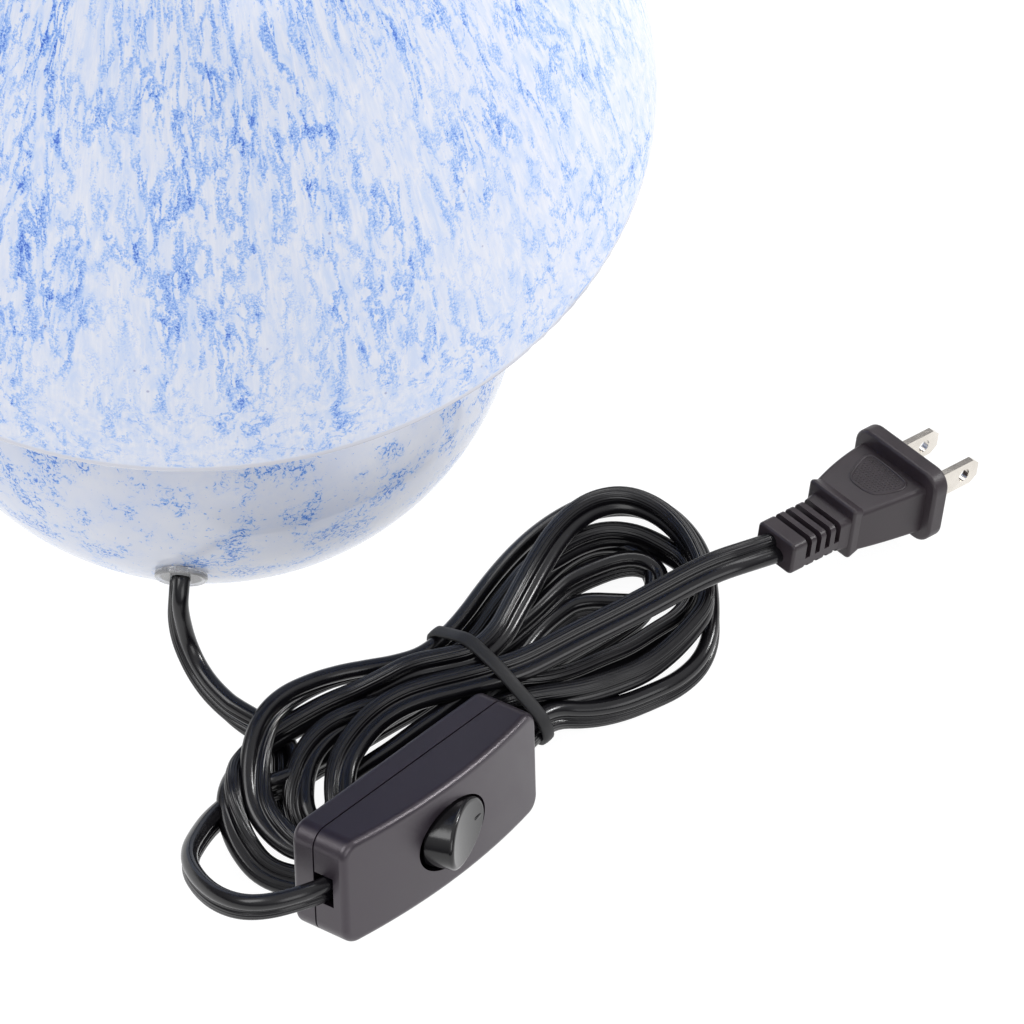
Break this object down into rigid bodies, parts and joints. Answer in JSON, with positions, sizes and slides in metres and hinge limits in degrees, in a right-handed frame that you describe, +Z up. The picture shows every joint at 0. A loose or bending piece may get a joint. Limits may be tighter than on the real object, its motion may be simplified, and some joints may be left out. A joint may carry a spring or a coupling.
{
  "type": "mushroom accent lamp",
  "caption": "Glass mushroom table lamp: domed opal cap lifts off a bulb-shaped base, flat cord tied in a hank with an in-line rocker switch and a two-blade plug.",
  "frame": {"origin": "on the lamp's axis, on the surface that the feet stand on", "axes": "+Z up; -Y is the side where the cord leaves the base; +X to the right seen from there"},
  "size_m": [0.2726, 0.2612, 0.2513],
  "materials": {
    "opal_glass": "glossy white opal glass with blue speckle",
    "clear_plastic": "clear soft plastic",
    "rubber_black": "matt black rubber",
    "silicone": "translucent silicone",
    "zinc_steel": "zinc-plated steel",
    "brass": "plain brass",
    "nickel": "nickel-plated brass",
    "black_phenolic": "moulded phenolic",
    "bulb_glass": "frosted bulb glass",
    "white_plastic": "white moulded plastic",
    "black_plastic": "satin black moulding",
    "black_gloss": "glossy black moulding",
    "black_pvc": "satin black soft PVC",
    "black_cord": "black PVC flat twin cord"
  },
  "bodies": {
    "lamp": {"bar_sleeves": "rubber_black", "bar_spacer": "zinc_steel", "base_glass": "opal_glass", "bumper_feet": "clear_plastic", "cap_carrier": "zinc_steel", "carrier_nuts": "zinc_steel", "carrier_screws": "zinc_steel", "carrier_tips": "silicone", "cord_grommet": "clear_plastic", "cord_hank": "black_cord", "cord_inner": "black_cord", "cord_lamp_lead": "black_cord", "cord_plug_lead": "black_cord", "cord_switch_lead": "black_cord", "cord_switch_out": "black_cord", "cross_bar": "zinc_steel", "hank_band": "rubber_black", "neck_cap": "zinc_steel", "neck_gasket": "rubber_black", "nipple_nut": "zinc_steel", "nipple_washer": "zinc_steel", "plug_blades": "nickel", "plug_body": "black_pvc", "rocker_pin": "zinc_steel", "socket_base": "brass", "socket_centre_contact": "brass", "socket_insulator": "black_phenolic", "socket_screw_shell": "brass", "socket_terminal_screws": "brass", "switch_back_shell": "black_plastic", "switch_contacts": "brass", "switch_front_shell": "black_plastic", "switch_screws": "zinc_steel", "threaded_nipple": "zinc_steel"},
    "cap": {"cap_glass": "opal_glass"},
    "bulb": {"bulb_tip": "brass", "bulb_insulator": "black_phenolic", "bulb_screw_cap": "nickel", "bulb_envelope": "bulb_glass", "bulb_light_engine": "white_plastic"},
    "rocker": {"switch_rocker": "black_gloss"},
    "seesaw": {"contact_seesaw": "brass"}
  },
  "joints": [
    {"name": "cap_lift", "type": "slide", "parent": "lamp", "child": "cap", "axis": [0, 0, 1], "range_m": [0, 0.12]},
    {"name": "bulb_out", "type": "slide", "parent": "lamp", "child": "bulb", "axis": [0, 0, 1], "range_m": [0, 0.016]},
    {"name": "rocker_tilt", "type": "hinge", "parent": "lamp", "child": "rocker", "pos_m": [0.05427, -0.13492, 0.02483], "axis": [-0.0231, 0.3979, 0.9171], "range_deg": [-36, 0]},
    {"name": "seesaw_tilt", "type": "hinge", "parent": "lamp", "child": "seesaw", "pos_m": [0.04911, -0.13119, 0.02308], "axis": [-0.0231, 0.3979, 0.9171], "range_deg": [0, 14.4]}
  ],
  "couplings": [
    {"joint": "seesaw_tilt", "follows": "rocker_tilt", "ratio": -0.4}
  ]
}
